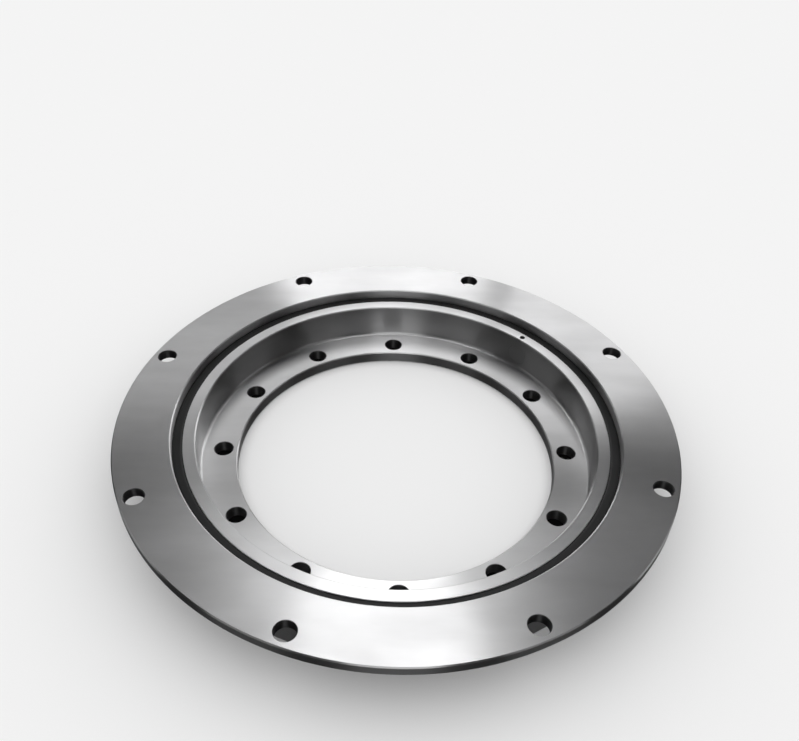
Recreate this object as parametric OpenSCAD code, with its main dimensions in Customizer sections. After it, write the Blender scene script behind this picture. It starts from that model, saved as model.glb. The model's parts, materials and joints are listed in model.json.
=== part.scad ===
// Slewing ring bearing: an untoothed, flanged turntable ring with one row of balls.
// The outer ring has its flange at the top and the inner ring has its flange at the bottom.
// One row of balls runs between them on a gothic-arch raceway, so each ball touches at four
// points and carries axial load both ways, radial load and tilting.
// The origin is the centre of the inner ring's bottom face, and +Z is the axis of rotation.
// Radial sizes are given as distances from the circle that the balls' centres run on, so
// that a larger or smaller ring keeps its walls, flanges and fits.

/* [Overall] */
// Diameter of the circle that the balls' centres run on
pitch_d = 414; // [345:1:640]
// Height from the inner ring's bottom face to the outer ring's top face
overall_h = 56; // [52:1:90]
// How far each ring stands past the other, at the top and at the bottom
ring_step = 8; // [5:0.5:12]
// Width of the gap between the two rings
ring_gap = 1.5; // [1.2:0.1:3]
// Width of the chamfer on the rings' machined edges
edge_chamfer = 1; // [0.5:0.1:2]

/* [Outer ring] */
// How far the flange's rim lies outside the ball circle
rim_reach = 52; // [50:1:80]
// Thickness of the flange
outer_flange_t = 10; // [8:0.5:16]
// How far the body below the flange reaches outside the ball circle
body_reach = 20; // [18:0.5:24]
// Radius of the fillet between the flange and the body
outer_fillet = 2; // [1:0.5:3]
// How far the bolt circle lies outside the ball circle
outer_bolt_reach = 38; // [36:1:40]
// Number of bolt holes in the flange
outer_bolts = 8; // [4:1:24]
// Diameter of each bolt hole
outer_bolt_hole_d = 18; // [10:0.5:20]
// Angle that the outer ring is turned to at rest, past having its holes even about +Y
rest_turn = 2; // [-20:0.5:20]

/* [Inner ring] */
// How far the deep inner wall lies inside the ball circle
wall_reach = 20.5; // [18:0.5:26]
// How far the bolt circle lies inside the ball circle
inner_bolt_reach = 41; // [40:1:43]
// How far the edge of the centre opening lies inside the ball circle
bore_reach = 55; // [54:1:80]
// Thickness of the flange
inner_flange_t = 12; // [8:0.5:14]
// Radius of the fillet where the flange meets the wall
inner_fillet = 3; // [1:0.5:4]
// Number of bolt holes in the flange
inner_bolts = 12; // [4:1:24]
// Diameter of each bolt hole
inner_bolt_hole_d = 18; // [10:0.5:20]

/* [Balls and spacers] */
// Diameter of each ball
ball_d = 20; // [14:0.5:24]
// Number of balls round the ring, a whole number in each set of spacers
ball_count = 48; // [24:4:48]
// How much larger the raceway's arc radius is than the ball's radius
race_extra_r = 0.5; // [0.4:0.05:1]
// Running clearance between a ball and the raceway along its contact line
ball_clearance = 0.25; // [0.2:0.05:0.4]
// How much smaller a spacer's diameter is than a ball's
spacer_relief = 3; // [2.5:0.5:5]
// How far a spacer's rim reaches round each ball
spacer_wrap = 2.5; // [1.5:0.1:3]
// Clearance between a spacer's cup and its ball
cup_clearance = 0.3; // [0.2:0.05:0.5]

/* [Seals] */
// Width of the step that each seal is bonded into
seal_w = 8.25; // [6:0.25:9]
// Height of solid ring left between a ball's edge and the seal's step
race_land = 3.5; // [3:0.25:5]
// How far the seal's face lies below the ring's own face
seal_sink = 0.7; // [0.3:0.1:1.2]
// Running clearance between the seal's lip and the other ring
lip_clearance = 0.3; // [0.3:0.05:0.5]
// Thickness of the seal's lip
lip_t = 1.6; // [1:0.1:2]

/* [Filling plug and pin] */
// Angle of the filling plug from +X
plug_angle = 45; // [0:1:359]
// How much larger the filling hole is than a ball
plug_extra_d = 2; // [1:0.5:4]
// Diameter of the taper pin at its thick end
pin_d = 5; // [3:0.5:6]
// Length of the taper pin
pin_l = 22; // [16:1:24]
// How far the pin's head lies below the ring's top face
pin_sink = 6; // [3:0.5:8]
// Least thickness of steel between the pin and the raceway
pin_land = 1.2; // [1:0.1:1.4]

/* [Grease nipples] */
// Number of grease nipples round the outer ring
nipples = 4; // [1:1:8]
// Diameter of the nipple's threaded shank
nipple_shank_d = 8; // [6:1:8]
// Depth of the threaded hole
nipple_depth = 6; // [4:0.5:6.5]
// Width of the nipple's hexagon across its flats
nipple_hex_w = 9; // [9:0.5:11]
// Height of the nipple's hexagon
nipple_hex_h = 4; // [3:0.5:5]
// Diameter of the nipple's ball-shaped head
nipple_head_d = 6.5; // [5:0.5:7]
// Diameter of the neck below the head
nipple_neck_d = 4.5; // [3:0.5:4.5]
// Length from the hexagon to the head's end
nipple_head_l = 7; // [6:0.5:9]
// Diameter of the duct that takes grease to the raceway
duct_d = 3; // [2:0.5:4]

/* [Hidden] */
$fn = 96;
overcut = 1;
spacer_sets = 4;
pin_taper = 1 / 50;

// Radii and heights shared by the pieces
pitch_r = pitch_d / 2;
ball_r = ball_d / 2;
race_z = overall_h / 2;
race_r = ball_r + race_extra_r;
race_offset = (race_extra_r - ball_clearance) * cos(45);

inner_outside_r = pitch_r - ring_gap / 2;
wall_r = pitch_r - wall_reach;
bore_r = pitch_r - bore_reach;
inner_bolt_r = pitch_r - inner_bolt_reach;
inner_top_z = overall_h - ring_step;

outer_inside_r = pitch_r + ring_gap / 2;
body_r = pitch_r + body_reach;
rim_r = pitch_r + rim_reach;
outer_bolt_r = pitch_r + outer_bolt_reach;
outer_bottom_z = ring_step;
outer_flange_z = overall_h - outer_flange_t;

seal_floor_z = race_z + ball_r + race_land;
seal_face_z = inner_top_z - seal_sink;
upper_seat_r = inner_outside_r - seal_w;
lower_seat_r = outer_inside_r + seal_w;

plug_d = ball_d + plug_extra_d;
pin_r = min((wall_r + upper_seat_r) / 2, pitch_r - race_r - pin_land - pin_d / 2);
pin_top_z = inner_top_z - pin_sink;

ball_step = 360 / ball_count;
ball_chord = pitch_d * sin(ball_step / 2);
spacers_per_set = ball_count / spacer_sets;
spacer_d = ball_d - spacer_relief;
spacer_l = ball_chord - 2 * (ball_r + cup_clearance - spacer_wrap);

function two_digits(i) = i < 10 ? str("0", i) : str(i);
function ball_name(i) = str("ball_", two_digits(i));
function spacer_set_name(i) = str("spacer_set_", i);

// ---------------------------------------------------------------- shared outlines

// The opening that the balls run in: the room inside four arcs, one behind each contact line.
// Each arc's centre is shifted away from its contact, which gives the pointed gothic arch.
module raceway_outline() {
    translate([pitch_r, race_z])
        intersection() {
            for_side(-1, -1);
            for_side(-1, 1);
            for_side(1, -1);
            for_side(1, 1);
        }
}

module for_side(x, y) {
    translate([x * race_offset, y * race_offset])
        circle(r = race_r);
}

// A concave corner's fillet, which fills the quarter that opens towards (sx, sy).
module fillet_outline(r, sx, sy) {
    difference() {
        mirror([sx < 0 ? 1 : 0, 0])
            mirror([0, sy < 0 ? 1 : 0])
                square(r);
        translate([sx * r, sy * r])
            circle(r = r);
    }
}

// The upper seal's section: a foot that fills the step, and a lip that crosses the gap.
module seal_outline() {
    lip_r = outer_inside_r - lip_clearance;
    polygon([
        [upper_seat_r, seal_floor_z],
        [inner_outside_r, seal_floor_z],
        [inner_outside_r, seal_face_z - lip_t],
        [lip_r, seal_face_z - lip_t / 2],
        [lip_r, seal_face_z],
        [upper_seat_r, seal_face_z]
    ]);
}

// Turns an outline of the upper seal or its step into the lower one.
module lower_from_upper() {
    translate([pitch_d, overall_h])
        rotate(180)
            children();
}

module round_pattern(count, r, first_angle) {
    for (i = [0 : count - 1])
        rotate(first_angle + i * 360 / count)
            translate([r, 0, 0])
                children();
}

// A straight or tapered rod that points outwards along +X from the axis of rotation.
module radial(angle, z) {
    rotate(angle)
        translate([0, 0, z])
            rotate([0, 90, 0])
                children();
}

// ---------------------------------------------------------------- outer ring

outer_first_bolt = 90 - 180 / outer_bolts + rest_turn;
first_nipple = 90 + rest_turn;

module outer_ring_outline() {
    c = edge_chamfer;
    difference() {
        union() {
            polygon([
                [outer_inside_r, overall_h - c],
                [outer_inside_r + c, overall_h],
                [rim_r - c, overall_h],
                [rim_r, overall_h - c],
                [rim_r, outer_flange_z + c],
                [rim_r - c, outer_flange_z],
                [body_r, outer_flange_z],
                [body_r, outer_bottom_z + c],
                [body_r - c, outer_bottom_z],
                [lower_seat_r, outer_bottom_z],
                [lower_seat_r, overall_h - seal_floor_z],
                [outer_inside_r, overall_h - seal_floor_z]
            ]);
            translate([body_r, outer_flange_z])
                fillet_outline(outer_fillet, 1, -1);
        }
        raceway_outline();
    }
}

module outer_ring() {
    color("silver")
        difference() {
            rotate_extrude()
                outer_ring_outline();
            round_pattern(outer_bolts, outer_bolt_r, outer_first_bolt)
                translate([0, 0, outer_flange_z - overcut])
                    cylinder(d = outer_bolt_hole_d, h = outer_flange_t + 2 * overcut);
            for (i = [0 : nipples - 1]) {
                radial(first_nipple + i * 360 / nipples, race_z) {
                    translate([0, 0, body_r - nipple_depth])
                        cylinder(d = nipple_shank_d, h = nipple_depth + overcut);
                    translate([0, 0, pitch_r])
                        cylinder(d = duct_d, h = body_reach - nipple_depth + overcut);
                }
            }
        }
}

module grease_nipple() {
    cylinder(d = nipple_shank_d, h = nipple_depth);
    translate([0, 0, nipple_depth])
        cylinder(d = nipple_hex_w / cos(30), h = nipple_hex_h, $fn = 6);
    translate([0, 0, nipple_depth + nipple_hex_h])
        cylinder(d = nipple_neck_d, h = nipple_head_l - nipple_head_d / 2);
    translate([0, 0, nipple_depth + nipple_hex_h + nipple_head_l - nipple_head_d / 2])
        sphere(d = nipple_head_d);
}

module grease_nipples() {
    color("goldenrod")
        for (i = [0 : nipples - 1])
            radial(first_nipple + i * 360 / nipples, race_z)
                translate([0, 0, body_r - nipple_depth])
                    grease_nipple();
}

module lower_seal() {
    color("dimgray")
        rotate_extrude()
            lower_from_upper()
                seal_outline();
}

// ---------------------------------------------------------------- inner ring

inner_first_bolt = 90;

module inner_ring_outline() {
    c = edge_chamfer;
    difference() {
        union() {
            polygon([
                [bore_r + c, 0],
                [bore_r, c],
                [bore_r, inner_flange_t - c],
                [bore_r + c, inner_flange_t],
                [wall_r, inner_flange_t],
                [wall_r, inner_top_z - c],
                [wall_r + c, inner_top_z],
                [upper_seat_r, inner_top_z],
                [upper_seat_r, seal_floor_z],
                [inner_outside_r, seal_floor_z],
                [inner_outside_r, c],
                [inner_outside_r - c, 0]
            ]);
            translate([wall_r, inner_flange_t])
                fillet_outline(inner_fillet, -1, 1);
        }
        raceway_outline();
    }
}

// The ring as turned, before its filling hole and its bolt holes are drilled.
module inner_ring_blank() {
    rotate_extrude()
        inner_ring_outline();
}

// The radial hole that the balls are put in through, up to the middle of the raceway.
module filling_hole() {
    radial(plug_angle, race_z)
        translate([0, 0, wall_r - overcut])
            cylinder(d = plug_d, h = wall_reach + overcut);
}

module pin_body() {
    rotate(plug_angle)
        translate([pin_r, 0, pin_top_z - pin_l])
            cylinder(d1 = pin_d - pin_l * pin_taper, d2 = pin_d, h = pin_l);
}

// The pin's hole, which is reamed to the taper and open above the pin's head.
module pin_hole() {
    pin_body();
    rotate(plug_angle)
        translate([pin_r, 0, pin_top_z])
            cylinder(d = pin_d, h = pin_sink + overcut);
}

module inner_ring() {
    color("silver")
        difference() {
            inner_ring_blank();
            filling_hole();
            pin_hole();
            round_pattern(inner_bolts, inner_bolt_r, inner_first_bolt)
                translate([0, 0, -overcut])
                    cylinder(d = inner_bolt_hole_d, h = inner_flange_t + 2 * overcut);
        }
}

// The plug is ground flush with the wall and carries its own stretch of raceway.
module filling_plug() {
    color("gray")
        difference() {
            intersection() {
                inner_ring_blank();
                filling_hole();
            }
            pin_hole();
        }
}

module taper_pin() {
    color("dimgray")
        pin_body();
}

module upper_seal() {
    color("dimgray")
        rotate_extrude()
            seal_outline();
}

// ---------------------------------------------------------------- balls and spacers

module ball(i) {
    color("gainsboro")
        rotate((i - 1) * ball_step)
            translate([pitch_r, 0, race_z])
                sphere(d = ball_d);
}

// A short plastic rod between ball i and the next one, with a cup in each end.
module spacer(i) {
    half = ball_step / 2;
    rotate((i - 1) * ball_step + half)
        difference() {
            translate([pitch_r * cos(half), 0, race_z])
                rotate([90, 0, 0])
                    cylinder(d = spacer_d, h = spacer_l, center = true);
            for (side = [-1, 1])
                translate([pitch_r * cos(half), side * ball_chord / 2, race_z])
                    sphere(r = ball_r + cup_clearance);
        }
}

module spacer_set(set) {
    color("ivory")
        for (i = [1 : spacers_per_set])
            spacer((set - 1) * spacers_per_set + i);
}

outer_ring();
inner_ring();
upper_seal();
lower_seal();
filling_plug();
taper_pin();
grease_nipples();
for (i = [1 : spacer_sets])
    spacer_set(i);
for (i = [1 : ball_count])
    ball(i);
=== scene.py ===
# %% [markdown]
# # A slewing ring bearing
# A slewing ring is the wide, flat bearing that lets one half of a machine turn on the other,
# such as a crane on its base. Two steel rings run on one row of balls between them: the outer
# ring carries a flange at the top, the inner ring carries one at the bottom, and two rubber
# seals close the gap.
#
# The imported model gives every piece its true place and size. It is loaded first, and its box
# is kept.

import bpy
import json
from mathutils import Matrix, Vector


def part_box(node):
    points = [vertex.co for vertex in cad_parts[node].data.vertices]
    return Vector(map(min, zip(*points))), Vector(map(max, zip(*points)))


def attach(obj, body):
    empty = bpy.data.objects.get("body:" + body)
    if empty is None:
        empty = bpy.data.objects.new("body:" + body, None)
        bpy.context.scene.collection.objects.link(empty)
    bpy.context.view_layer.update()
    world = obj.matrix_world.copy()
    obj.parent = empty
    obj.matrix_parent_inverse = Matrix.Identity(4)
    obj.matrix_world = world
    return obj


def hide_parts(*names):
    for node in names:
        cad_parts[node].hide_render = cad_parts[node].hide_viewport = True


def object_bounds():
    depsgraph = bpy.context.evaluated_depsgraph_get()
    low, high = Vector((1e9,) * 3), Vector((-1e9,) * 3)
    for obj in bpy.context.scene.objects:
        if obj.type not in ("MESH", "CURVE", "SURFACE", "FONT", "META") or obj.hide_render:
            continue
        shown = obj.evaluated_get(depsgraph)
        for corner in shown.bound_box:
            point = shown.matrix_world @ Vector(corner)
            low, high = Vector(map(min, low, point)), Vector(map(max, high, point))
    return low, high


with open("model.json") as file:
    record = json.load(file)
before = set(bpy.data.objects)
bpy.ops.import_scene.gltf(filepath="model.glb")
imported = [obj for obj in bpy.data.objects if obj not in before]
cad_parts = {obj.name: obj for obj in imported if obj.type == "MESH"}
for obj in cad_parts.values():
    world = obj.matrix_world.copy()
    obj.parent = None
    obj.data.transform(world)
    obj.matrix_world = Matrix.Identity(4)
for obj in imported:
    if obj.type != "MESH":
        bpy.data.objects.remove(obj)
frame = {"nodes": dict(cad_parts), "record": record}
cad_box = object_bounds()
packed_size = [round(side, 4) for side in cad_box[1] - cad_box[0]]
print("packed model:", len(frame["nodes"]), "pieces,", packed_size, "m")

# %% Tools
import json
from math import atan2, cos, degrees, pi, radians, sin, sqrt, tan

import bpy
import numpy as np
from mathutils import Matrix, Vector

# %% [markdown]
# ## Sizes
# All shapes below are worked out in millimetres, as a turner would, and are changed to metres
# only when a mesh is made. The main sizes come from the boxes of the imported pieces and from
# the mounts in the record; the rest are the small steps, chamfers and fillets of the rings'
# section, each given from the circle that the balls' centres run on.

# %% Sizes of the rings
MM = 0.001


def size(metres):
    """A length in metres as millimetres, rounded to a hundredth."""
    return round(metres / MM, 2)


outer_low, outer_high = (Vector(map(size, corner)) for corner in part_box("outer_ring"))
inner_low, inner_high = (Vector(map(size, corner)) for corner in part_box("inner_ring"))
ball_low, ball_high = (Vector(map(size, corner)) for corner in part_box("ball_01"))
seal_low, seal_high = (Vector(map(size, corner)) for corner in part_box("upper_seal"))
mounts = {mount["name"]: mount["dims"] for mount in frame["record"]["mounts"]}

pitch_r = (ball_low.x + ball_high.x) / 2
race_z = (ball_low.z + ball_high.z) / 2
chamfer, hole_chamfer, burr = 1.0, 0.5, 0.4
flange_thick, body_reach, wall_reach = 10, 20, 20.5

rim_r, top_z, outer_bottom_z = outer_high.x, outer_high.z, outer_low.z
outer_inside_r = 2 * pitch_r - inner_high.x
body_r = pitch_r + body_reach
flange_z = top_z - flange_thick
outer_fillet = 2
outer_bolt_r = mounts["outer_bolt_circle"]["pcd_mm"] / 2
outer_bolts = mounts["outer_bolt_circle"]["count"]

inner_outside_r, inner_top_z = inner_high.x, inner_high.z
wall_r = pitch_r - wall_reach
inner_flange_z = 12
inner_fillet = 3
bore_r = mounts["centre_bore"]["r_mm"]
inner_bolt_r = mounts["inner_bolt_circle"]["pcd_mm"] / 2
inner_bolts = mounts["inner_bolt_circle"]["count"]

bolt_hole_r = mounts["outer_bolt_circle"]["hole_r_mm"]
seal_w = 8.25
seal_floor_z = seal_low.z
bolt_window, nipple_window, plug_window_half = 13, 7, 13
window_lines = 9
print("ball circle", 2 * pitch_r, "rim", 2 * rim_r, "bore", 2 * bore_r, "height", top_z)

# %% [markdown]
# ## Camera
# The picture is taken from the front, a little to the left, from about as high up as it is
# far away, with the lens a little off the ring's middle. The camera is made first, so that
# each piece can be looked at as soon as it exists. It stands on a line from the ring's middle,
# and is then turned in its own three directions: sideways, up and down, and about its view.

# %% Camera
distance, elevation, azimuth = 816.76 * MM, radians(45.875), radians(2.838)
turns = {"sideways": radians(0.704), "up": radians(3.463), "about_view": radians(-2.755)}

flat = cos(elevation)
stand = distance * Vector((-flat * sin(azimuth), -flat * cos(azimuth), sin(elevation)))
ahead = -stand.normalized()
right = Vector((cos(azimuth), -sin(azimuth), 0))
up = right.cross(ahead)
ahead, right = (Matrix.Rotation(turns["sideways"], 3, up) @ v for v in (ahead, right))
ahead, up = (Matrix.Rotation(turns["up"], 3, right) @ v for v in (ahead, up))
right, up = (Matrix.Rotation(turns["about_view"], 3, ahead) @ v for v in (right, up))

camera = bpy.data.objects.new("camera", bpy.data.cameras.new("camera"))
bpy.context.scene.collection.objects.link(camera)
facing_ring = Matrix((right, up, -ahead)).transposed().to_4x4()
camera.matrix_world = Matrix.Translation(stand) @ facing_ring
camera.data.sensor_width = 36
camera.data.lens = 37.48
camera.data.shift_x, camera.data.shift_y = 0.0150, 0.0474
camera.data.clip_start = 0.01
bpy.context.scene.camera = camera
print("camera stands at", [round(v, 3) for v in camera.location], "m")

# %% [markdown]
# ## Sections
# A ring is a section turned about the axis, so most of the work is in drawing sections. A
# section is a table with one row for each point: its radius, its height, and the direction
# that the surface faces there. Rows run so that the steel lies on their left. Where two runs
# meet at a corner, the corner's point stands twice, once for each run's direction, and this
# keeps the edge crisp: the thin strip between the two has no area and is dropped later.


# %% Runs of a section
def straight(*points):
    """A straight run through the points. Its direction (dr, dz) faces (dz, -dr), at right
    angles."""
    points = np.array(points, float)
    dr, dz = (points[-1] - points[0]) / np.linalg.norm(points[-1] - points[0])
    return np.column_stack([points, np.tile([dz, -dr], (len(points), 1))])


def arc(centre, radius, first, last, pieces=12, hollow=False):
    """A run round a centre from angle first to last, in degrees: centre + radius (cos, sin). It
    faces away from its centre, or towards it where hollow."""
    angles = np.radians(np.linspace(first, last, pieces + 1))
    out = np.column_stack([np.cos(angles), np.sin(angles)])
    return np.column_stack([np.array(centre) + radius * out, -out if hollow else out])


def rounded(corners, pieces=6):
    """A closed section whose corners (r, z, radius) are each swapped for the arc that touches
    both sides. The arc starts radius times tan(half the turn) before the corner."""
    points = np.array([corner[:2] for corner in corners], float)
    runs = []
    neighbours = zip(points, np.roll(points, 1, 0), np.roll(points, -1, 0))
    for (here, before, after), (_, _, radius) in zip(neighbours, corners):
        inward, onward = here - before, after - here
        inward, onward = inward / np.linalg.norm(inward), onward / np.linalg.norm(onward)
        turn = atan2(inward[0] * onward[1] - inward[1] * onward[0], inward @ onward)
        side = 1 if turn > 0 else -1
        start = here - inward * radius * abs(tan(turn / 2))
        centre = start + side * radius * np.array([-inward[1], inward[0]])
        first = degrees(atan2(*(start - centre)[::-1]))
        runs.append(arc(centre, radius, first, first + degrees(turn), pieces, hollow=side < 0))
    joined = []
    for run, following in zip(runs, [*runs[1:], runs[0]]):
        joined += [run, straight(run[-1, :2], following[0, :2])]
    return np.vstack(joined)


# %% [markdown]
# ## Surfaces
# Every new piece is put together from grids of points. A grid's first direction runs round
# the piece and its second runs along the section, and the two are ordered so that each quad
# faces outwards. When all the grids of a piece are there, points that lie within a
# thousandth of a millimetre of each other become one, so the skin is closed, and each face
# corner keeps the exact direction that was worked out for it. A face also remembers whether
# a drill made it, so that the steel can be rougher there, and darker in colour as painted
# shade inside the holes.


# %% Skins
class Skin:
    """The grids of one piece, as quads with their corners and the directions that they face."""

    def __init__(self):
        self.corners, self.facing, self.drilled = [], [], []

    def add(self, points, facing, keep=None, drilled=0.0):
        """Adds a grid of points (round, along, xyz). Each cell becomes a quad: its near corner,
        the next one round, the one beyond, and the next one along."""
        for grid, store in ((points, self.corners), (facing, self.facing)):
            quads = np.stack([grid[:-1, :-1], grid[1:, :-1], grid[1:, 1:], grid[:-1, 1:]], 2)
            store.append(quads[keep] if keep is not None else quads.reshape(-1, 4, 3))
        self.drilled.append(np.full(len(self.corners[-1]), drilled))

    def make(self, name):
        """Merges equal points, drops faces without area, and makes the object."""
        corners, facing = np.concatenate(self.corners), np.concatenate(self.facing)
        thousandths = np.rint(corners.reshape(-1, 3) / MM).astype(np.int64)
        _, first, index = np.unique(thousandths, axis=0, return_index=True, return_inverse=True)
        index = index.reshape(-1, 4)
        real = index != np.roll(index, -1, 1)
        real[real.sum(1) < 3] = False
        counts = real.sum(1)[real.any(1)]
        mesh = bpy.data.meshes.new(name)
        mesh.vertices.add(len(first))
        mesh.vertices.foreach_set("co", (corners.reshape(-1, 3)[first] * MM).ravel())
        mesh.loops.add(int(counts.sum()))
        mesh.loops.foreach_set("vertex_index", index[real])
        mesh.polygons.add(len(counts))
        starts = np.concatenate([[0], np.cumsum(counts)[:-1]])
        mesh.polygons.foreach_set("loop_start", starts)
        mesh.polygons.foreach_set("use_smooth", np.ones(len(counts), bool))
        mesh.update(calc_edges=True)
        mesh.normals_split_custom_set(facing[real])
        if self.drilled:
            drilled = np.concatenate(self.drilled)[real.any(1)]
            attribute = mesh.attributes.new("drilled", "FLOAT", "FACE")
            attribute.data.foreach_set("value", drilled)
        piece = bpy.data.objects.new(name, mesh)
        bpy.context.scene.collection.objects.link(piece)
        edges = np.zeros(len(mesh.loops), np.int64)
        mesh.loops.foreach_get("edge_index", edges)
        open_edges = int((np.bincount(edges, minlength=len(mesh.edges)) != 2).sum())
        triangles = int((counts - 2).sum())
        print(name, len(mesh.vertices), "points,", triangles, "triangles, open edges:", open_edges)
        return piece


# %% [markdown]
# ## Turning
# The rings are turned in 720 steps of half a degree. At that count the rim of a half-metre
# ring leaves the true circle by less than a hundredth of a millimetre, and every bolt hole's
# centre falls on a step.

# %% Turning about the axis
STEPS = 720


def step_at(angle):
    """The step that lies at an angle in degrees."""
    return round(angle * STEPS / 360)


def turned(section, steps=np.arange(STEPS + 1)):
    """A section carried round the axis: radius r and height z at angle a go to (r cos a, r sin
    a, z)."""
    angles = steps * 2 * pi / STEPS
    c, s = np.cos(angles)[:, None], np.sin(angles)[:, None]
    r, z, out, rise = section.T
    points = np.stack([r * c, r * s, z + 0 * c], -1)
    return points, np.stack([out * c, out * s, rise + 0 * c], -1)


def rotate(grid, step):
    """A grid turned about the axis by a number of steps."""
    a = step * 2 * pi / STEPS
    x, y, z = np.moveaxis(grid, -1, 0)
    return np.stack([x * cos(a) - y * sin(a), x * sin(a) + y * cos(a), z], -1)


# %% [markdown]
# ## Drilling
# A hole could be cut with a boolean, but that leaves long slivers that catch the light. Here
# the turned grid leaves out a window round each hole. The window is filled by rings that
# change, step by step, from the window's outline to the hole's circle, and the hole's own
# wall is a small section turned about the hole's axis. Each kind of face has a chart, which
# is a flat drawing of it with the hole in the middle.


# %% Charts
class FlatChart:
    """A flat face at one height. A point (u, v) on the chart lies u outwards and v sideways
    from the hole's centre, which is at radius hole_r."""

    def __init__(self, hole_r, z, rise):
        self.hole_r, self.z, self.rise = hole_r, z, rise

    def flatten(self, r, a, z):
        return r * np.cos(a) - self.hole_r, r * np.sin(a)

    def aim(self, r, a, z):
        """The angle on the chart from the hole's centre to a point."""
        u, v = self.flatten(r, a, z)
        return np.arctan2(v, u)

    def place(self, u, v):
        facing = np.zeros(u.shape + (3,))
        facing[..., 2] = self.rise
        return np.stack([self.hole_r + u, v, self.z + 0 * u], -1), facing


class WallChart:
    """A turned wall whose radius follows a section. A point (u, v) lies u sideways and v above
    the hole's centre, at x = the square root of the wall's radius squared less u squared."""

    def __init__(self, section, hole_z, aim_r):
        order = np.argsort(section[:, 1], kind="stable")
        self.section, self.hole_z, self.aim_r = section[order], hole_z, aim_r

    def flatten(self, r, a, z):
        return r * np.sin(a), z - self.hole_z

    def aim(self, r, a, z):
        return np.arctan2(z - self.hole_z, self.aim_r * np.sin(a))

    def place(self, u, v):
        z = self.hole_z + v
        heights = self.section[:, 1]
        r, out, rise = (np.interp(z, heights, self.section[:, k]) for k in (0, 2, 3))
        x = np.sqrt(r**2 - u**2)
        return np.stack([x, u, z], -1), np.stack([out * x / r, out * u / r, rise], -1)


# %% Windows and holes
def window_outline(half, rows):
    """The steps and rows met going once round a window: out along the first row, up, back along
    the last row, and down."""
    across, along = np.arange(-half, half), np.arange(rows)
    sides = np.full(rows, half)
    steps = np.concatenate([across, sides, -across, -sides, [-half]])
    lines = np.concatenate([0 * across, along, 0 * across + rows, rows - along, [0]])
    return steps, lines


def fill_window(skin, section, rows, half, chart, hole_r, centres, rings=5):
    """Fills a window at each centre: (1 - t) times its outline plus t times the hole's circle,
    both on the chart, for t from 0 to 1. Returns the angles at which the rings meet the
    circle."""
    steps, lines = window_outline(half, rows[1] - rows[0])
    r, z = section[rows[0] + lines, :2].T
    a = steps * 2 * pi / STEPS
    aims = chart.aim(r, a, z)
    t = np.linspace(0, 1, rings + 1)[None, :]
    u, v = ((1 - t) * edge[:, None] + t * hole_r * circle(aims)[:, None]
            for edge, circle in zip(chart.flatten(r, a, z), (np.cos, np.sin)))
    points, facing = chart.place(u, v)
    for centre in centres:
        skin.add(rotate(points, centre), rotate(facing, centre))
    return aims


def upright_hole(skin, section, axis_r, aims, centres):
    """A hole's section (radius, height) turned about an upright axis at radius axis_r, at the
    given angles."""
    c, s = np.cos(aims)[:, None], np.sin(aims)[:, None]
    r, z, out, rise = section.T
    points = np.stack([axis_r + r * c, r * s, z + 0 * c], -1)
    facing = np.stack([out * c, out * s, rise + 0 * c], -1)
    for centre in centres:
        skin.add(rotate(points, centre), rotate(facing, centre), drilled=1.0)


def turn_and_drill(skin, section, windows):
    """Turns a whole section, leaving out the cells inside each window (first row, last row,
    half width in steps, centres)."""
    points, facing = turned(section)
    keep = np.ones((STEPS, len(section) - 1), bool)
    for low, high, half, centres in windows:
        for centre in centres:
            across = np.arange(centre - half, centre + half)[:, None] % STEPS
            keep[across, np.arange(low, high)] = False
    skin.add(points, facing, keep)


def rows_of(section, first, last):
    """The row numbers of two points in a section. A corner has two rows, so the closest pair is
    taken."""
    lows, highs = (
        np.flatnonzero(np.hypot(*(section[:, :2] - point).T) < 1e-6) for point in (first, last))
    pairs = ((int(low), int(high)) for low in lows for high in highs if high > low)
    return min(pairs, key=lambda pair: pair[1] - pair[0])


# %% [markdown]
# ## The raceway
# The balls run in a groove shaped like a gothic arch. Each side of it is two arcs a little
# larger than the ball, with their centres set apart, so a ball touches four points and can
# carry load from above, from below and from the side.

# %% Raceway arcs
race_relief, contact_gap, contact_angle = 0.5, 0.25, radians(45)
race_r = (ball_high.x - ball_low.x) / 2 + race_relief
race_offset = (race_relief - contact_gap) * cos(contact_angle)


def race(edge_r):
    """The groove from one ring's cylinder at edge_r, across and back. The inner ring's groove
    runs upwards and the outer ring's downwards."""
    side = 1 if edge_r < pitch_r else -1
    centre_r = pitch_r + side * race_offset
    edge = degrees(np.arccos(abs(edge_r - centre_r) / race_r))
    peak = degrees(np.arcsin(race_offset / race_r))
    middle = 180 if side > 0 else 0
    low_centre, high_centre = ((centre_r, race_z + s * race_offset) for s in (side, -side))
    lower = arc(low_centre, race_r, middle + edge, middle + peak, hollow=True)
    upper = arc(high_centre, race_r, middle - peak, middle - edge, hollow=True)
    return np.vstack([lower, upper])


print("raceway opening from", np.round(race(inner_outside_r)[[0, -1], 1], 2), "mm high")

# %% [markdown]
# ## Outer ring
# The outer ring is an L turned on its head: a body round the balls with a bolting flange at
# its top. Its edges are chamfered, and a fillet joins flange and body. The section starts at
# the step for the lower seal and goes round with the steel on its left.

# %% Outer ring
lower_seat_r = outer_inside_r + seal_w
lower_roof_z = 2 * race_z - seal_floor_z
flange_lines = np.linspace(outer_bolt_r - bolt_window, rim_r - chamfer, window_lines)
nipple_lines = np.linspace(race_z - nipple_window, race_z + nipple_window, window_lines)
outer_race = race(outer_inside_r)

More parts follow.
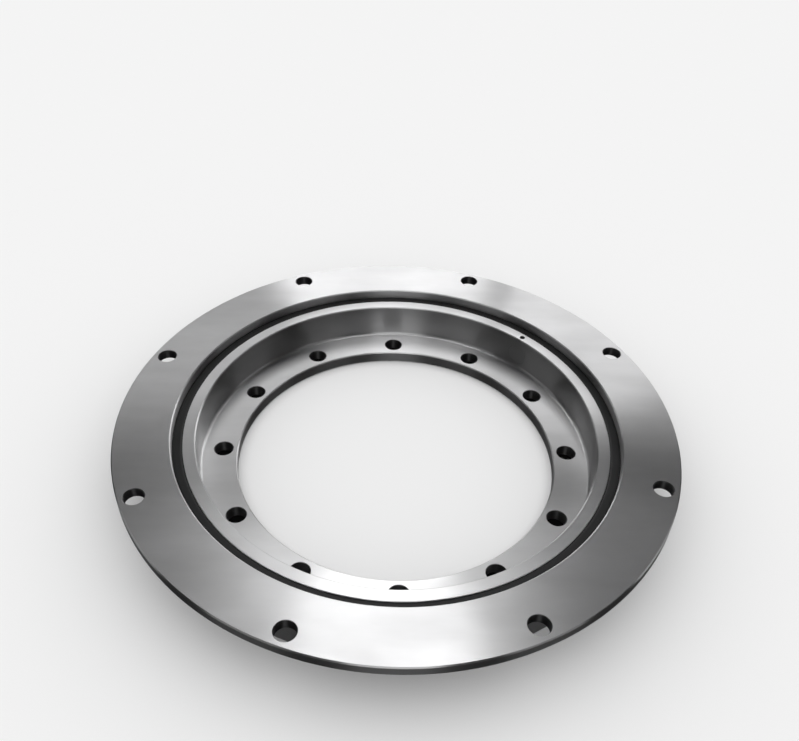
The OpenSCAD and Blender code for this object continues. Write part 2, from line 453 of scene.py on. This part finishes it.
outer_section = np.vstack([
    straight((lower_seat_r + burr, outer_bottom_z), (body_r - chamfer, outer_bottom_z)),
    straight((body_r - chamfer, outer_bottom_z), (body_r, outer_bottom_z + chamfer)),
    straight(
        (body_r, outer_bottom_z + chamfer), *((body_r, z) for z in nipple_lines),
        (body_r, flange_z - outer_fillet)),
    arc(
        (body_r + outer_fillet, flange_z - outer_fillet), outer_fillet, 180, 90, hollow=True),
    straight((body_r + outer_fillet, flange_z), *((r, flange_z) for r in flange_lines)),
    straight((rim_r - chamfer, flange_z), (rim_r, flange_z + chamfer)),
    straight((rim_r, flange_z + chamfer), (rim_r, top_z - chamfer)),
    straight((rim_r, top_z - chamfer), (rim_r - chamfer, top_z)),
    straight(*((r, top_z) for r in flange_lines[::-1]), (outer_inside_r + chamfer, top_z)),
    straight((outer_inside_r + chamfer, top_z), (outer_inside_r, top_z - chamfer)),
    straight((outer_inside_r, top_z - chamfer), outer_race[0, :2]),
    outer_race,
    straight(outer_race[-1, :2], (outer_inside_r, lower_roof_z)),
    straight((outer_inside_r, lower_roof_z), (lower_seat_r, lower_roof_z)),
    straight((lower_seat_r, lower_roof_z), (lower_seat_r, outer_bottom_z + burr)),
    straight((lower_seat_r, outer_bottom_z + burr), (lower_seat_r + burr, outer_bottom_z)),
])

rest_turn = 2
first_bolt = 90 - 180 / outer_bolts + rest_turn
outer_centres = [step_at(first_bolt + k * 360 / outer_bolts) for k in range(outer_bolts)]
nipple_centres = [step_at(90 + rest_turn + k * 90) for k in range(4)]
edge_r = bolt_hole_r + hole_chamfer
bolt_half, nipple_half = 12, 3

flange_top = rows_of(outer_section, (rim_r - chamfer, top_z), (flange_lines[0], top_z))
flange_under = rows_of(outer_section, (flange_lines[0], flange_z), (rim_r - chamfer, flange_z))
nipple_rows = rows_of(outer_section, (body_r, nipple_lines[0]), (body_r, nipple_lines[-1]))

outer_skin = Skin()
turn_and_drill(outer_skin, outer_section, [
    (*flange_top, bolt_half, outer_centres),
    (*flange_under, bolt_half, outer_centres),
    (*nipple_rows, nipple_half, nipple_centres),
])
top_chart, under_chart = FlatChart(outer_bolt_r, top_z, 1), FlatChart(outer_bolt_r, flange_z, -1)
aims = fill_window(
    outer_skin, outer_section, flange_top, bolt_half, top_chart, edge_r, outer_centres)
fill_window(
    outer_skin, outer_section, flange_under, bolt_half, under_chart, edge_r, outer_centres)


def bolt_hole(top, bottom):
    """A bolt hole's section, with a small chamfer at each end."""
    return np.vstack([
        straight((edge_r, top), (bolt_hole_r, top - hole_chamfer)),
        straight((bolt_hole_r, top - hole_chamfer), (bolt_hole_r, bottom + hole_chamfer)),
        straight((bolt_hole_r, bottom + hole_chamfer), (edge_r, bottom)),
    ])


upright_hole(outer_skin, bolt_hole(top_z, flange_z), outer_bolt_r, aims, outer_centres)

# %% [markdown]
# The threaded holes for the grease nipples are drilled into the body's outside, so their
# axes lie flat. Such a hole's rim is a saddle: it follows the body's cylinder.


# %% Holes for the nipples
def sideways_hole(skin, chart, rims, aims, centres, floor=None):
    """A hole along the radius. Each rim is (radius, depth below the chart's face). With a
    floor, the hole is closed there by rings that shrink to its centre."""
    c, s = np.cos(aims), np.sin(aims)
    places = []
    for radius, depth in rims:
        point, facing = chart.place(radius * c, radius * s)
        places.append(point + [1, 0, 0] * np.array(depth)[..., None])
    into = np.stack([0 * c, -c, -s], -1)
    chamfered = (into + facing) / sqrt(2)
    for k in range(len(places) - 1):
        flat = rims[k][0] == rims[k + 1][0]
        for centre in centres:
            normal = np.repeat((into if flat else chamfered)[:, None], 2, 1)
            band = rotate(np.stack(places[k : k + 2], 1), centre)
            skin.add(band, rotate(normal, centre), drilled=1.0)
    if floor is not None:
        rims_left = np.linspace(rims[-1][0], 0, 4)[None, :]
        u, v = rims_left * c[:, None], rims_left * s[:, None]
        bottom = np.stack([floor + 0 * u, u, v + chart.hole_z], -1)
        for centre in centres:
            normal = np.broadcast_to([1.0, 0, 0], bottom.shape)
            skin.add(rotate(bottom, centre), rotate(normal, centre), drilled=1.0)


nipple_hole_r, nipple_hole_depth, nipple_chamfer = 4, 6, 0.3
nipple_edge_r = nipple_hole_r + nipple_chamfer
body_chart = WallChart(outer_section[nipple_rows[0] : nipple_rows[1] + 1], race_z, body_r)
aims = fill_window(
    outer_skin, outer_section, nipple_rows, nipple_half, body_chart, nipple_edge_r,
    nipple_centres, rings=2)
surface_x = body_chart.place(nipple_hole_r * np.cos(aims), nipple_hole_r * np.sin(aims))[0][:, 0]
floor_x = body_r - nipple_hole_depth
nipple_rims = [
    (nipple_edge_r, 0), (nipple_hole_r, -nipple_chamfer), (nipple_hole_r, floor_x - surface_x)]
sideways_hole(outer_skin, body_chart, nipple_rims, aims, nipple_centres, floor=floor_x)
outer_ring = outer_skin.make("outer_ring_machined")
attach(outer_ring, "outer_ring")
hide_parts("outer_ring")

# %% [markdown]
# ## Inner ring
# The inner ring stands the other way up: its flange is at the bottom and points inwards, so
# the bolts that hold it are reached through the middle. Between the wall and the flange is a
# fillet, which shows as a fine bright line. One radial hole, for filling in the balls, goes
# through the wall to the raceway; its rows on the wall and in the raceway are at the same
# heights, so that the two windows' rings meet. The raceway's window has more rings than the
# others, because its groove is steep at the lip, and a long facet there would touch a ball.

# %% Inner ring's section
upper_seat_r = inner_outside_r - seal_w
inner_race = race(inner_outside_r)
plug_window = (race_z - plug_window_half, race_z + plug_window_half)
bore_lines = np.linspace(bore_r + chamfer, inner_bolt_r + bolt_window, window_lines)
pin_lines = np.linspace(wall_r + chamfer, upper_seat_r - burr, window_lines)
plug_lines = np.unique(np.round(np.concatenate([plug_window, inner_race[:, 1]]), 9))

inner_section = np.vstack([
    straight(*((r, 0) for r in bore_lines), (inner_outside_r - chamfer, 0)),
    straight((inner_outside_r - chamfer, 0), (inner_outside_r, chamfer)),
    straight((inner_outside_r, chamfer), (inner_outside_r, plug_window[0]), inner_race[0, :2]),
    inner_race,
    straight(
        inner_race[-1, :2], (inner_outside_r, plug_window[1]), (inner_outside_r, seal_floor_z)),
    straight((inner_outside_r, seal_floor_z), (upper_seat_r, seal_floor_z)),
    straight((upper_seat_r, seal_floor_z), (upper_seat_r, inner_top_z - burr)),
    straight((upper_seat_r, inner_top_z - burr), (upper_seat_r - burr, inner_top_z)),
    straight(*((r, inner_top_z) for r in pin_lines[::-1])),
    straight((wall_r + chamfer, inner_top_z), (wall_r, inner_top_z - chamfer)),
    straight(
        (wall_r, inner_top_z - chamfer), *((wall_r, z) for z in plug_lines[::-1]),
        (wall_r, inner_flange_z + inner_fillet)),
    arc(
        (wall_r - inner_fillet, inner_flange_z + inner_fillet), inner_fillet, 0, -90,
        hollow=True),
    straight(
        (wall_r - inner_fillet, inner_flange_z),
        *((r, inner_flange_z) for r in bore_lines[::-1])),
    straight((bore_r + chamfer, inner_flange_z), (bore_r, inner_flange_z - chamfer)),
    straight((bore_r, inner_flange_z - chamfer), (bore_r, chamfer)),
    straight((bore_r, chamfer), (bore_r + chamfer, 0)),
])

# %% Inner ring
inner_centres = [step_at(90 + k * 360 / inner_bolts) for k in range(inner_bolts)]
plug_centre = [step_at(45)]
plug_half, pin_half = 9, 4
plug_r = race_r + 0.5
pin_axis_r, pin_hole_r = (wall_r + upper_seat_r) / 2, 2.5
pin_chamfer, plug_chamfer, pin_floor_gap = 0.25, 0.15, 0.6
pin_edge_r, plug_edge_r = pin_hole_r + pin_chamfer, plug_r + plug_chamfer

bore_top = rows_of(
    inner_section, (bore_lines[-1], inner_flange_z), (bore_lines[0], inner_flange_z))
bore_under = rows_of(inner_section, (bore_lines[0], 0), (bore_lines[-1], 0))
wall_rows = rows_of(inner_section, (wall_r, plug_window[1]), (wall_r, plug_window[0]))
race_rows = rows_of(
    inner_section, (inner_outside_r, plug_window[0]), (inner_outside_r, plug_window[1]))
pin_rows = rows_of(inner_section, (pin_lines[-1], inner_top_z), (pin_lines[0], inner_top_z))

inner_skin = Skin()
turn_and_drill(inner_skin, inner_section, [
    (*bore_top, bolt_half, inner_centres),
    (*bore_under, bolt_half, inner_centres),
    (*wall_rows, plug_half, plug_centre),
    (*race_rows, plug_half, plug_centre),
    (*pin_rows, pin_half, plug_centre),
])
top_chart, under_chart = FlatChart(inner_bolt_r, inner_flange_z, 1), FlatChart(inner_bolt_r, 0, -1)
aims = fill_window(
    inner_skin, inner_section, bore_top, bolt_half, top_chart, edge_r, inner_centres)
fill_window(
    inner_skin, inner_section, bore_under, bolt_half, under_chart, edge_r, inner_centres)
upright_hole(inner_skin, bolt_hole(inner_flange_z, 0), inner_bolt_r, aims, inner_centres)

pin_floor_z = race_z + plug_r + pin_floor_gap
pin_chart = FlatChart(pin_axis_r, inner_top_z, 1)
aims = fill_window(
    inner_skin, inner_section, pin_rows, pin_half, pin_chart, pin_edge_r, plug_centre)
upright_hole(inner_skin, np.vstack([
    straight((pin_edge_r, inner_top_z), (pin_hole_r, inner_top_z - pin_chamfer)),
    straight((pin_hole_r, inner_top_z - pin_chamfer), (pin_hole_r, pin_floor_z)),
    straight((pin_hole_r, pin_floor_z), (0, pin_floor_z)),
]), pin_axis_r, aims, plug_centre)

wall_chart, race_chart = (
    WallChart(inner_section[rows[0] : rows[1] + 1], race_z, pitch_r)
    for rows in (wall_rows, race_rows))
aims = fill_window(
    inner_skin, inner_section, wall_rows, plug_half, wall_chart, plug_edge_r, plug_centre)
fill_window(
    inner_skin, inner_section, race_rows, plug_half, race_chart, plug_r, plug_centre, rings=18)
through = [
    chart.place(plug_r * np.cos(aims), plug_r * np.sin(aims))[0][:, 0]
    for chart in (wall_chart, race_chart)]
plug_rims = [(plug_edge_r, 0), (plug_r, plug_chamfer), (plug_r, through[1] - through[0])]
sideways_hole(inner_skin, wall_chart, plug_rims, aims, plug_centre)
inner_ring = inner_skin.make("inner_ring_machined")
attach(inner_ring, "inner_ring")
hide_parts("inner_ring")

# %% [markdown]
# ## Seals
# Each seal is a rubber profile bonded into a step of one ring, with a lip that nearly touches
# the other ring. Its face is slightly crowned, and its edges are moulded round, so it is
# turned from a rounded section. The lower seal is the same profile, turned over.

# %% Seals
lip_r = seal_high.x
face_z = seal_high.z
upper_profile = [
    (upper_seat_r, seal_floor_z, 0.2), (inner_outside_r, seal_floor_z, 0.2),
    (inner_outside_r, face_z - 1.6, 0.4), (lip_r, face_z - 0.9, 0.2), (lip_r, face_z - 0.55, 0.25),
    (lip_r - 1.9, face_z, 5), (upper_seat_r + 2.1, face_z, 5), (upper_seat_r, face_z - 0.45, 0.25),
]
lower_profile = [
    (2 * pitch_r - r, 2 * race_z - z, radius) for r, z, radius in upper_profile]


def seal(name, profile, body, node):
    """A rounded section turned about the axis, closed on itself."""
    skin = Skin()
    section = rounded(profile)
    skin.add(*turned(np.vstack([section, section[:1]])))
    piece = skin.make(name)
    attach(piece, body)
    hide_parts(node)
    return piece


upper_seal = seal("upper_seal_moulded", upper_profile, "inner_ring", "upper_seal")
lower_seal = seal("lower_seal_moulded", lower_profile, "outer_ring", "lower_seal")

# %% [markdown]
# ## Grease nipples
# A nipple is a turned brass-coloured screw with a hexagon and a ball-shaped head for the
# grease gun. Its section is turned about its own axis, and over the hexagon's height the
# radius is that of the hexagon at each angle, cut by the cone that chamfers its corners.

# %% Grease nipples
shank_r, shank_l, hex_w, hex_h, neck_r, head_r, head_l = 4, 6, 9, 4, 2.25, 3.25, 7
nipple_base_r = body_r - shank_l
hex_end = shank_l + hex_h
head_centre = hex_end + head_l - head_r


def hexagon(angles, corner_cut):
    """The smaller of a hexagon's radius, half its width over the cosine of the angle from the
    nearest flat, and the radius that the chamfer's cone leaves."""
    from_flat = (angles + pi / 6) % (pi / 3) - pi / 6
    return np.minimum(hex_w / 2 / np.cos(from_flat), corner_cut)


def nipple_grid(turns_round=72):
    """Points round and along a nipple: (radius cos a, radius sin a) at each length, closed at
    both ends."""
    a = np.linspace(0, 2 * pi, turns_round + 1)[:, None]
    flats, corners = hex_w / 2, hex_w / 2 / cos(pi / 6)
    neck_meets = head_centre - sqrt(head_r**2 - neck_r**2)
    ball = np.linspace(np.arcsin(neck_r / head_r), 2.75, 16)
    plain = [(0, 0), (shank_r - 0.5, 0), (shank_r, 0.5), (shank_r, shank_l - 0.01)]
    cone = [
        (flats - 0.1, shank_l), (corners, shank_l + 0.45), (corners, hex_end - 0.7),
        (flats - 0.3, hex_end)]
    tip = [(neck_r + 0.25, hex_end), (neck_r, hex_end + 0.3), (neck_r, neck_meets)]
    tip += [(head_r * sin(t), head_centre - head_r * cos(t)) for t in ball]
    mouth_r, mouth_z, mouth_floor = 0.75, head_centre + head_r * 0.92, head_centre + head_r * 0.8
    tip += [(mouth_r, mouth_z), (mouth_r, mouth_floor), (0, mouth_floor)]
    length = np.array([row[1] for row in plain + cone + tip])[None, :]
    radius = np.concatenate([
        np.array([row[0] for row in plain]) + 0 * a,
        hexagon(a, np.array([row[0] for row in cone])[None, :]),
        np.array([row[0] for row in tip]) + 0 * a,
    ], 1)
    along = nipple_base_r + length + 0 * a
    return np.stack([along, radius * np.cos(a), race_z + radius * np.sin(a)], -1)


def facets(points):
    """Each cell's own direction, from the cross product of its diagonals, given to all its
    corners."""
    across = np.cross(points[1:, 1:] - points[:-1, :-1], points[:-1, 1:] - points[1:, :-1])
    across /= np.maximum(np.linalg.norm(across, axis=-1, keepdims=True), 1e-9)
    return across


nipple_skin = Skin()
shape = nipple_grid()
cell_facing = facets(shape)
for centre in nipple_centres:
    place = rotate(shape, centre)
    quads = np.stack([place[:-1, :-1], place[1:, :-1], place[1:, 1:], place[:-1, 1:]], 2)
    nipple_skin.corners.append(quads.reshape(-1, 4, 3))
    turned_facing = rotate(cell_facing, centre)[:, :, None]
    nipple_skin.facing.append(np.repeat(turned_facing, 4, 2).reshape(-1, 4, 3))
nipple_set = nipple_skin.make("grease_nipples_turned")
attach(nipple_set, "outer_ring")
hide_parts("grease_nipples")

# %% [markdown]
# ## Writing finishes
# A finish is a tree of shader nodes. Written node by node it is long and hard to read, so a
# small class wraps each output, and ordinary arithmetic on it adds the Math nodes.


# %% A wire and a recipe
class Wire:
    """A node's output. Adding to it, multiplying it or raising it to a power adds a Math node."""

    def __init__(self, recipe, socket):
        self.recipe, self.socket = recipe, socket

    def math(self, operation, *others):
        numbered = dict(enumerate((self, *others)))
        return self.recipe.node("Math", {"operation": operation}, numbered)

    def __add__(self, other): return self.math("ADD", other)
    def __mul__(self, other): return self.math("MULTIPLY", other)
    def __pow__(self, other): return self.math("POWER", other)


class Recipe:
    """One material while it is being written."""

    def __init__(self, name):
        self.material = bpy.data.materials.new(name)
        self.material.use_nodes = True
        self.tree = self.material.node_tree
        self.tree.nodes.clear()

    def node(self, kind, settings=None, sockets=None, out=0):
        """Adds a node of a kind, gives it its settings, and then a value or a link for each
        socket. Stops are a ramp's (place, grey)."""
        node = self.tree.nodes.new("ShaderNode" + kind)
        for key, value in (settings or {}).items():
            if key == "stops":
                while len(node.color_ramp.elements) < len(value):
                    node.color_ramp.elements.new(0.5)
                for element, (place, grey) in zip(node.color_ramp.elements, value):
                    element.position, element.color = place, (grey, grey, grey, 1)
            else:
                setattr(node, key, value)
        for key, value in (sockets or {}).items():
            if isinstance(value, Wire):
                self.tree.links.new(value.socket, node.inputs[key])
            else:
                node.inputs[key].default_value = value
        return Wire(self, node.outputs[out]) if node.outputs else None

    def place(self):
        """The point's x, y and z on the piece, in metres."""
        point = self.node("TexCoord", out="Object")
        return [self.node("SeparateXYZ", sockets={0: point}, out=k) for k in range(3)]

    def vector(self, x, y, z):
        return self.node("CombineXYZ", sockets={0: x, 1: y, 2: z})

    def noise(self, where, scale=1.0, detail=2.0, roughness=0.5):
        sockets = {"Vector": where, "Scale": scale, "Detail": detail, "Roughness": roughness}
        return self.node("TexNoise", sockets=sockets)

    def ramp(self, value, *stops):
        return self.node("ValToRGB", {"stops": stops}, {0: value})

    def mix(self, share, first, second):
        """A colour that goes from first to second as share goes from 0 to 1."""
        return self.node("Mix", {"data_type": "RGBA"}, {0: share, 6: first, 7: second}, out=2)

    def bump(self, height):
        """A surface lifted by a height in metres."""
        return self.node("Bump", sockets={"Strength": 1.0, "Distance": 1.0, "Height": height})

    def finish(self, **sockets):
        """Ends the recipe in one Principled shader. Socket names are written with _ for a
        space."""
        names = {key.replace("_", " "): value for key, value in sockets.items()}
        shader = self.node("BsdfPrincipled", sockets=names)
        self.node("OutputMaterial", sockets={"Surface": shader})
        return self.material


# %% [markdown]
# ## Steel
# The rings are turned on a large lathe and finished bright. The tool leaves rings too fine to
# see one by one, but they spread a reflection across themselves and not along, so a flat face
# shows a bright fan that stays put as the ring turns. That is anisotropy: the shader's own
# direction runs round the axis, and a quarter turn of it lays the spread across the grooves.
# Over it lie coarser rings, a slight unevenness that bends reflections, and cloudy patches
# left by wiping and by the thin film of oil. The walls of drilled holes are rougher, and their
# colour is darkened as painted shade; the inner ring's deep wall is darkened in colour as
# painted shade too.


# %% Steel for the rings
def machined_steel(name, tone, seed, wall_painted_shade):
    recipe = Recipe(name)
    x, y, z = recipe.place()
    radius = (x * x + y * y) ** 0.5
    shifted = recipe.vector(x + seed, y, z * 1.5)
    grooves = recipe.noise(recipe.vector(radius * 900, z * 900, x * 3 + seed), detail=3)
    rings = recipe.noise(recipe.vector(radius * 160, z * 160, seed), detail=1)
    clouds = recipe.noise(shifted, scale=9, detail=3, roughness=0.5)
    stretched = recipe.vector(x * 7 + seed, y * 26, z * 26)
    wipes = recipe.noise(stretched, scale=1, detail=4, roughness=0.55)
    waves = recipe.noise(shifted, scale=11, detail=1)
    patches = recipe.ramp(clouds * 0.55 + wipes * 0.45, (0.36, 0.0), (0.62, 1.0))
    drilled = recipe.node("Attribute", {"attribute_name": "drilled"}, out=2)
    # A ramp reads from 0 to 1, so radius and height are scaled up to use more of it.
    radius_scale, height_scale = 5, 10
    # The two ramps below mask the inner ring's deep wall above the fillet, where shade is painted
    # into the colour.
    across = [(wall_r + beyond) * MM * radius_scale for beyond in (-2, -1, 0.3, 0.7)]
    upwards = [
        height * MM * height_scale for height in (inner_flange_z, inner_flange_z + inner_fillet)]
    near_wall = recipe.ramp(radius * radius_scale, *zip(across, (0.0, 1.0, 1.0, 0.0)))
    on_wall = near_wall * recipe.ramp(z * height_scale, *zip(upwards, (0.0, 1.0)))
    # Kept above 0.277 everywhere: just below that, thin wavy lines showed on the steel.
    roughness = drilled * 0.12 + patches * -0.03 + grooves * 0.02 + 0.307
    # Painted shade: the deep wall's colour and the drilled walls' colour are darker copies of the
    # steel's tone.
    dull, bright, wall_painted_shade_colour, drilled_painted_shade = (
        [share * t for t in tone] + [1] for share in (0.80, 1.02, 0.5, 0.25))
    finish_turned = recipe.mix(patches, dull, bright)
    wall_toned = recipe.mix(on_wall * wall_painted_shade, finish_turned, wall_painted_shade_colour)
    colour = recipe.mix(drilled, wall_toned, drilled_painted_shade)
    relief = grooves * 1e-6 + rings * 3e-6 + waves * 0.8e-4
    return recipe.finish(
        Base_Color=colour, Metallic=1.0, Roughness=roughness, Normal=recipe.bump(relief),
        Anisotropic=1.0, Anisotropic_Rotation=0.25,
    )


outer_steel = machined_steel(
    "outer_ring_steel_turned", (0.60, 0.60, 0.605), seed=3.1, wall_painted_shade=0.0)
inner_steel = machined_steel(
    "inner_ring_steel_turned", (0.70, 0.70, 0.705), seed=8.7, wall_painted_shade=0.6)

# %% [markdown]
# ## The other finishes
# Small parts have simpler finishes, but none is a single colour: the pin is oiled and dark,
# the nipples are zinc plated and yellowish, the balls are lapped to a mirror, the spacers are
# natural polyamide, and the seals are nitrile rubber with a faint bloom.


# %% Small steel parts
def plated(name, dark, light, roughness, grain):
    recipe = Recipe(name)
    x, y, z = recipe.place()
    clouds = recipe.noise(recipe.vector(x, y, z), scale=grain, detail=4)
    fine = recipe.noise(recipe.vector(x, y, z), scale=grain * 9, detail=2)
    return recipe.finish(
        Base_Color=recipe.mix(clouds, [*dark, 1], [*light, 1]), Metallic=1.0,
        Roughness=clouds * 0.12 + (roughness - 0.06), Normal=recipe.bump(fine * 3e-6),
    )


pin_steel = plated(
    "pin_steel_oiled", (0.12, 0.12, 0.125), (0.24, 0.24, 0.25), roughness=0.35, grain=300)
nipple_steel = plated(
    "nipple_steel_zinc", (0.62, 0.54, 0.34), (0.72, 0.67, 0.50), roughness=0.30, grain=260)
ball_steel = plated(
    "ball_steel_lapped", (0.68, 0.68, 0.69), (0.74, 0.74, 0.75), roughness=0.12, grain=120)


# %% Rubber and plastic
def moulded(name, dark, light, gloss, roughness, spread, grain, height):
    recipe = Recipe(name)
    x, y, z = recipe.place()
    where = recipe.vector(x, y, z)
    bloom = recipe.noise(where, scale=grain, detail=5, roughness=0.6)
    skin = recipe.noise(where, scale=grain * 22, detail=3)
    return recipe.finish(
        Base_Color=recipe.mix(bloom, [*dark, 1], [*light, 1]), Specular_IOR_Level=gloss,
        Roughness=bloom * spread + roughness, Normal=recipe.bump(skin * height),
    )


seal_rubber = moulded(
    "seal_rubber_nitrile", (0.006, 0.006, 0.0065), (0.014, 0.014, 0.0145),
    gloss=0.22, roughness=0.36, spread=0.2, grain=60, height=1.5e-5)
spacer_plastic = moulded(
    "spacer_plastic_polyamide", (0.66, 0.62, 0.50), (0.80, 0.77, 0.66),
    gloss=0.5, roughness=0.40, spread=0.15, grain=90, height=6e-6)

# %% Put the finishes on
finishes = {
    "outer_ring_steel": outer_steel, "inner_ring_steel": inner_steel,
    "seal_rubber": seal_rubber, "pin_steel": pin_steel, "nipple_steel": nipple_steel,
    "spacer_plastic": spacer_plastic, "ball_steel": ball_steel,
}
for node in frame["nodes"].values():
    for place in node.material_slots:
        place.material = finishes[place.material.name]
new_pieces = (
    (outer_ring, "outer_ring_steel"), (inner_ring, "inner_ring_steel"),
    (upper_seal, "seal_rubber"), (lower_seal, "seal_rubber"), (nipple_set, "nipple_steel"))
for piece, slot in new_pieces:
    piece.data.materials.append(finishes[slot])
print(len(finishes), "finishes")

# %% [markdown]
# ## Floor
# The ring stands on a plain white floor. A black sheet under the inner ring, hidden by it, is
# painted shade: it is what is seen through the inner bolt holes, so they look deep and dark.
# The steel doesn't see the floor, which keeps its rim and the edge of its opening dark, as
# with steel that stands clear of anything bright.

# %% Floor and sheet
reach, sheet_z, floor_z = 12.0, -0.0005, -0.001
sheet_inside_r, sheet_outside_r = bore_r + 2, bore_r + 43
sheet_points = 144


def paper(name, shade, grain_size):
    """Paper of one shade, with a fine grain."""
    recipe = Recipe(name)
    x, y, z = recipe.place()
    grain = recipe.noise(recipe.vector(x, y, z), scale=grain_size, detail=2)
    return recipe.finish(
        Base_Color=recipe.mix(grain, [0.97 * shade] * 3 + [1], [shade] * 3 + [1]),
        Roughness=0.9, Specular_IOR_Level=0.0, Normal=recipe.bump(grain * 2e-5),
    )


def lay(name, points, faces, material):
    """A flat thing under the ring, which the steel doesn't see."""
    mesh = bpy.data.meshes.new(name)
    mesh.from_pydata(points, [], faces)
    mesh.materials.append(material)
    laid = bpy.data.objects.new(name, mesh)
    bpy.context.scene.collection.objects.link(laid)
    laid.visible_glossy = False


around = np.linspace(0, 2 * pi, sheet_points + 1)[:-1]
edges = [
    np.column_stack([r * MM * np.cos(around), r * MM * np.sin(around), sheet_z + 0 * around])
    for r in (sheet_inside_r, sheet_outside_r)]
strips = [
    (k, sheet_points + k, sheet_points + (k + 1) % sheet_points, (k + 1) % sheet_points)
    for k in range(sheet_points)]
floor_corners = [(x * reach, y * reach, floor_z) for x, y in ((-1, -1), (1, -1), (1, 1), (-1, 1))]
# The black sheet is painted shade under the inner bolt holes.
lay("sheet", np.vstack(edges).tolist(), strips, paper("sheet_paper_black", 0.008, 900))
lay("floor", floor_corners, [(0, 1, 2, 3)], paper("floor_paper_white", 0.92, 900))

# %% [markdown]
# ## Light
# Bright steel shows the room as much as itself, so the light comes from soft boxes. Eight
# equal ones stand in a low circle, so that the ring reads from every side. A front box and a
# back box draw the two white fans across the turned faces, one more at the back on the right
# makes that side the paler one, and two overhead fill the grey between. The white
# surroundings light the paper and the rubber, and hardly show in the steel.


# %% Lamps
box_width, box_depth, dome_r = 0.7, 0.5, 1.6


def softbox(name, azimuth, height, watts):
    """A rectangular lamp on a dome round the ring, facing its middle: the dome's radius times
    (cos height cos azimuth, cos height sin azimuth, sin height)."""
    lamp = bpy.data.lights.new(name, "AREA")
    lamp.shape, lamp.size, lamp.size_y = "RECTANGLE", box_width, box_depth
    lamp.energy = watts
    box = bpy.data.objects.new(name, lamp)
    bpy.context.scene.collection.objects.link(box)
    a, h = radians(azimuth), radians(height)
    box.location = dome_r * Vector((cos(h) * cos(a), cos(h) * sin(a), sin(h)))
    box.rotation_euler = (-box.location).to_track_quat("-Z", "Y").to_euler()
    box.visible_camera = box.visible_diffuse = False


low_boxes = 8
for k in range(low_boxes):
    softbox(f"low_{k + 1}", azimuth=360 * k / low_boxes, height=10, watts=1.0)
softbox("front", azimuth=270, height=40, watts=2.5)
softbox("back", azimuth=90, height=20, watts=4.0)
softbox("back_right", azimuth=60, height=20, watts=3.0)
softbox("high", azimuth=90, height=55, watts=3.0)
softbox("overhead", azimuth=90, height=80, watts=5.0)
print(low_boxes + 5, "soft boxes")

# %% Surroundings
world = bpy.data.worlds.new("studio")
bpy.context.scene.world = world
world.use_nodes = True
tree = world.node_tree
background = tree.nodes["Background"]
seen_in_steel = tree.nodes.new("ShaderNodeLightPath").outputs["Is Glossy Ray"]
brightness = tree.nodes.new("ShaderNodeMapRange")
brightness.inputs["To Min"].default_value = 1.0
brightness.inputs["To Max"].default_value = 0.03
tree.links.new(seen_in_steel, brightness.inputs["Value"])
tree.links.new(brightness.outputs["Result"], background.inputs["Strength"])
background.inputs["Color"].default_value = (1, 1, 1, 1)
world.cycles.sampling_method = "NONE"

bpy.context.scene.view_settings.view_transform = "Standard"
